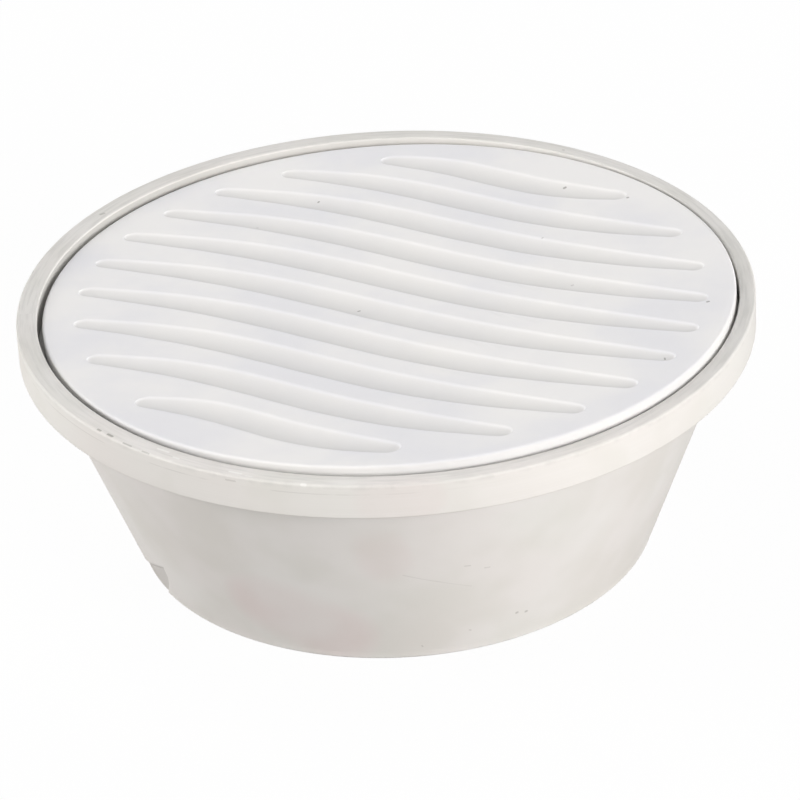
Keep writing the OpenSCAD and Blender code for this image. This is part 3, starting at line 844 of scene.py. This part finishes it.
def bowl_material(sizes):
    """uPVC, moulded: matt off-white, unevenly pigmented, with a rim top darker towards the back, painted
    shade in the cover's recess, turning lines and scratches.
    """
    material, tree, place = coating("moulded_upvc")
    at = add(tree, "ShaderNodeSeparateXYZ", [(0, place)]).outputs
    # the direction and the distance from the axis
    turn = add(tree, "ShaderNodeMath", [(0, at["Y"]), (1, at["X"])], operation="ARCTAN2").outputs[0]
    flat = add(tree, "ShaderNodeVectorMath", [(0, place), (1, (1, 1, 0))], operation="MULTIPLY").outputs[0]
    out = add(tree, "ShaderNodeVectorMath", [(0, flat)], operation="LENGTH").outputs["Value"]
    # pinkish patches, most of them low at the front left, and a fainter tone elsewhere
    uneven = join(tree, "ADD", blotches(tree, place, *PATCHES), 0.5)
    patches = join(tree, "MULTIPLY", marks(tree, place, BLUSH_PATCHES), uneven)
    pink = join(tree, "MAXIMUM", patches, blotches(tree, place, *PIGMENT))
    # the rim's top is darker towards the back, least at the front, with streaks along its circumference
    along_rim = join(tree, "MULTIPLY", turn, STREAK_TURN * MM)
    ring = add(tree, "ShaderNodeCombineXYZ", [("X", along_rim), ("Y", out)]).outputs[0]
    back = zone(tree, 0.3, (at["Y"], -135 * MM, -20 * MM))
    streaked = join(tree, "ADD", back, blotches(tree, ring, *STREAKS))
    darkened_top = zone(tree, streaked, (at["Z"], TRAP_HEIGHT - 0.9 * MM, TRAP_HEIGHT - 0.2 * MM))
    # painted shade in the recess, between the ledge and its upper edge, most on the left
    left = join(tree, "ADD", zone(tree, 0.6, (at["X"], 40 * MM, -120 * MM)), 0.25)
    recess = zone(tree, left, (out, RIM_RADIUS - 4 * MM, RIM_RADIUS - 6 * MM),
                  (at["Z"], SEAT_HEIGHT - 2 * MM, SEAT_HEIGHT - 1 * MM),
                  (at["Z"], TRAP_HEIGHT - 0.4 * MM, TRAP_HEIGHT - 1.1 * MM))
    # the rim's outer edge is knocked in spots all round
    knocked = zone(tree, blotches(tree, place, *KNOCKS),
                   (out, RIM_RADIUS - 2.5 * MM, RIM_RADIUS - 1 * MM),
                   (at["Z"], TRAP_HEIGHT - 3 * MM, TRAP_HEIGHT - 1 * MM))
    # turning lines round the band
    on_band = (out, RIM_RADIUS - 1.5 * MM, RIM_RADIUS - 0.5 * MM)
    round_band = join(tree, "MULTIPLY", turn, TURNING_TURN * MM)
    by_height = add(tree, "ShaderNodeCombineXYZ", [("X", round_band), ("Z", at["Z"])]).outputs[0]
    links = [("Vector", by_height), ("Scale", 1 / (TURNING * MM)), ("Detail", 3)]
    turnings = add(tree, "ShaderNodeTexNoise", links).outputs[0]
    lines = join(tree, "MULTIPLY", zone(tree, turnings, on_band), 0.8)
    # one broken line round the band, darkest on the left
    over_line = join(tree, "SUBTRACT", at["Z"], TRAP_HEIGHT - LINE_UNDER)
    from_line = add(tree, "ShaderNodeMath", [(0, over_line)], operation="ABSOLUTE").outputs[0]
    line = zone(tree, blotches(tree, place, *LINE_PARTS), on_band,
                (from_line, 0.35 * MM, 0.1 * MM), (at["X"], 60 * MM, -60 * MM))
    # the patch at the foot darkened, and dirt in the line and in the scratches
    patch_darkening = add(tree, "ShaderNodeAttribute", attribute_name="patch_darkening").outputs["Fac"]
    darkened_patch = join(tree, "MULTIPLY", patch_darkening, 0.27)
    patch_and_dirt = join(tree, "MAXIMUM", darkened_patch, line, marks(tree, place, BOWL_SCRATCHES))
    stained = join(tree, "MAXIMUM", blotches(tree, place, *CLOUDS), join(tree, "MULTIPLY", lines, 0.7))
    # worn spots, the darker rim top and the painted shade in the recess, all in one grey
    worn_and_shade = join(tree, "MAXIMUM", darkened_top, recess, knocked)
    base = layers(tree, sizes.body_colour, (sizes.stain_colour, stained), (sizes.blush_colour, pink),
                  (sizes.worn_and_shade_colour, worn_and_shade), (sizes.patch_and_grime_colour, patch_and_dirt),
                  (sizes.flake_colour, marks(tree, place, BOWL_FLAKES)))
    finish(tree, place, base, roughness=0.62, gloss=0.4, grain=0.4, lines=lines)
    return material


def cover_material(sizes):
    """Polypropylene, injection moulded: a matt clean white with a faint sheen, and painted shade in its
    flutes.
    """
    material, tree, place = coating("moulded_polypropylene")
    # how far a point lies under the plane of the cover's top, and its place lifted to that plane
    plane = cover_place(sizes)
    normal = plane.col[2].xyz
    links = [(0, place), (1, normal)]
    level = add(tree, "ShaderNodeVectorMath", links, operation="DOT_PRODUCT").outputs["Value"]
    depth = join(tree, "SUBTRACT", normal.dot(plane.translation), level)
    rise = add(tree, "ShaderNodeVectorMath", [(0, normal), ("Scale", depth)], operation="SCALE").outputs[0]
    lifted = add(tree, "ShaderNodeVectorMath", [(0, place), (1, rise)], operation="ADD").outputs[0]
    # flow marks, painted shade in the flutes by their depth, and dirt specks
    base = layers(tree, sizes.cover_colour, (sizes.shade_colour, blotches(tree, place, *FLOW_MARKS)),
                  (sizes.flute_shade_colour, zone(tree, 0.6, (depth, 0.05 * MM, 0.9 * MM))),
                  (sizes.speck_colour, marks(tree, lifted, COVER_SPECKS)))
    finish(tree, place, base, roughness=0.62, gloss=0.2, grain=0.3)
    return material


def bell_material(sizes):
    """Polypropylene, injection moulded: an even, slightly yellower off-white with a soft sheen."""
    material, tree, place = coating("bell_polypropylene")
    base = layers(tree, sizes.bell_colour, (sizes.shade_colour, blotches(tree, place, *FLOW_MARKS)))
    finish(tree, place, base, roughness=0.5, gloss=0.4, grain=0.3)
    return material


# tones of the lamps at the front and of the others
FRONT_TONE, BACK_TONE = "#FFFDFB", "#FEFEFF"
# lamps as (name, azimuth and height in degrees, part of white that each lights a facing sheet to, tone)
SOFTBOXES = (
    ("left_softbox", 180, 14, 0.88, FRONT_TONE),
    ("key_softbox", 315, 14, 0.8, FRONT_TONE),
    ("upper_softbox", 315, 35, 0.15, FRONT_TONE),
    ("front_softbox", 270, 14, 0.17, FRONT_TONE),
    ("back_softbox", 45, 14, 0.32, BACK_TONE),
    ("rear_softbox", 90, 35, 0.16, BACK_TONE),
    ("high_softbox", 135, 60, 0.15, BACK_TONE),
    ("top_softbox", 0, 88, 0.16, BACK_TONE),
)
# a lamp's distance and side in metres, so that it fills about 30 degrees of the object's sky
LAMP_DISTANCE, LAMP_SIDE = 4.0, 2.1


def softbox(name, azimuth, height, part, tone):
    """A square area lamp that faces the object."""
    data = bpy.data.lights.new(name, "AREA")
    data.energy = part * math.pi ** 2 * LAMP_DISTANCE ** 2
    data.color = linear(tone)
    data.shape = "SQUARE"
    data.size = LAMP_SIDE
    lamp = bpy.data.objects.new(name, data)
    turn, rise = math.radians(azimuth), math.radians(height)
    away = Vector((math.cos(turn) * math.cos(rise), math.sin(turn) * math.cos(rise), math.sin(rise)))
    lamp.location = away * LAMP_DISTANCE + Vector((0, 0, TRAP_HEIGHT / 2))
    lamp.rotation_euler = away.to_track_quat("Z", "Y").to_euler()
    bpy.context.scene.collection.objects.link(lamp)


WHITE = (1, 1, 1, 1)
# half the side of the sweep, in metres
SWEEP_HALF = 4
# paper fibres, drawn coarse enough to show, and their height, in mm
FIBRE_SIZE, FIBRE_HEIGHT = 2.5, 0.1


def as_seen(tree, lit, shown):
    """The shader lit for all rays but the camera's own, which get the shader shown."""
    seen = add(tree, "ShaderNodeLightPath").outputs["Is Camera Ray"]
    return add(tree, "ShaderNodeMixShader", [(0, seen), (1, lit.outputs[0]), (2, shown.outputs[0])])


def floor_material(sizes):
    """Pale paper sweep: nearly white to the camera, and it keeps a faint part of the shadow."""
    material, tree, place = coating("paper_sweep")
    links = [("Vector", place), ("Scale", 1 / (FIBRE_SIZE * MM))]
    fibre = add(tree, "ShaderNodeTexNoise", links).outputs[0]
    links = [("Strength", 0.05), ("Distance", FIBRE_HEIGHT * MM), ("Height", fibre)]
    bump = add(tree, "ShaderNodeBump", links).outputs[0]
    paper = add(tree, "ShaderNodeBsdfDiffuse", [("Color", (*sizes.floor_colour, 1)), ("Normal", bump)])
    white = add(tree, "ShaderNodeEmission", [("Color", WHITE), ("Strength", 1)])
    links = [(0, sizes.white), (1, paper.outputs[0]), (2, white.outputs[0])]
    shown = add(tree, "ShaderNodeMixShader", links)
    bounce = add(tree, "ShaderNodeBsdfDiffuse", [("Color", (*sizes.bounce_colour, 1))])
    mixed = as_seen(tree, bounce, shown)
    add(tree, "ShaderNodeOutputMaterial", [("Surface", mixed.outputs[0])])
    return material


def sweep(sizes):
    """The flat pale floor."""
    made = bmesh.new()
    bmesh.ops.create_grid(made, x_segments=1, y_segments=1, size=SWEEP_HALF)
    mesh = bpy.data.meshes.new("sweep")
    made.to_mesh(mesh)
    made.free()
    floor = bpy.data.objects.new("sweep", mesh)
    floor.data.materials.append(floor_material(sizes))
    bpy.context.scene.collection.objects.link(floor)


def room(sizes):
    """A world that gives a little even light, and is white behind the object."""
    world = bpy.data.worlds.new("room")
    world.use_nodes = True
    tree = world.node_tree
    tree.nodes.clear()
    dim = add(tree, "ShaderNodeBackground", [("Color", WHITE), ("Strength", sizes.room)])
    backdrop = add(tree, "ShaderNodeBackground", [("Color", WHITE), ("Strength", 1)])
    mixed = as_seen(tree, dim, backdrop)
    add(tree, "ShaderNodeOutputWorld", [("Surface", mixed.outputs[0])])
    bpy.context.scene.world = world


def camera(sizes):
    """The camera, turned up to its height angle at the rim's middle, moved back and aimed."""
    data = bpy.data.cameras.new("camera")
    data.lens = sizes.lens
    made = bpy.data.objects.new("camera", data)
    bpy.context.scene.collection.objects.link(made)
    place = Matrix.Translation((0, 0, TRAP_HEIGHT))
    place = place @ Matrix.Rotation(math.pi / 2 - sizes.elevation, 4, "X")
    place = place @ Matrix.Translation((0, 0, sizes.distance))
    for turn, axis in ((sizes.pan, "Y"), (sizes.tilt, "X"), (sizes.roll, "Z")):
        place = place @ Matrix.Rotation(turn, 4, axis)
    made.matrix_world = place
    bpy.context.scene.camera = made


class TRAP_OT_stage(bpy.types.Operator):
    """Makes the floor, the lamps, the room and the camera"""
    bl_idname = "trap.stage"
    bl_label = "Stage"

    def execute(self, context):
        sizes = context.scene.trap_stage
        sweep(sizes)
        for lamp in SOFTBOXES:
            softbox(*lamp)
        room(sizes)
        camera(sizes)
        context.scene.view_settings.view_transform = "Standard"
        return {"FINISHED"}


class TRAP_PT_sizes(bpy.types.Panel):
    """Sizes, colours and makers of the gully trap"""
    bl_idname = "TRAP_PT_sizes"
    bl_label = "Gully Trap"
    bl_space_type = "VIEW_3D"
    bl_region_type = "UI"
    bl_category = "Gully Trap"

    def draw(self, context):
        for maker, group in zip(MAKERS, GROUPS):
            box = self.layout.box()
            box.operator(maker.bl_idname)
            for key in group.__annotations__:
                box.prop(getattr(context.scene, GROUPS[group]), key)


GROUPS = {BowlSizes: "trap_bowl", BellSizes: "trap_bell", CoverSizes: "trap_cover", StageSizes: "trap_stage"}
MAKERS = (TRAP_OT_bowl, TRAP_OT_bell, TRAP_OT_cover, TRAP_OT_stage)


def register():
    for group, name in GROUPS.items():
        bpy.utils.register_class(group)
        setattr(bpy.types.Scene, name, PointerProperty(type=group))
    for maker in (*MAKERS, TRAP_PT_sizes):
        bpy.utils.register_class(maker)


def unregister():
    for maker in (*MAKERS, TRAP_PT_sizes):
        bpy.utils.unregister_class(maker)
    for group, name in GROUPS.items():
        delattr(bpy.types.Scene, name)
        bpy.utils.unregister_class(group)


def main():
    register()
    bpy.ops.trap.bowl()
    bpy.ops.trap.bell()
    bpy.ops.trap.cover()
    bpy.ops.trap.stage()


if __name__ == "__main__":
    main()
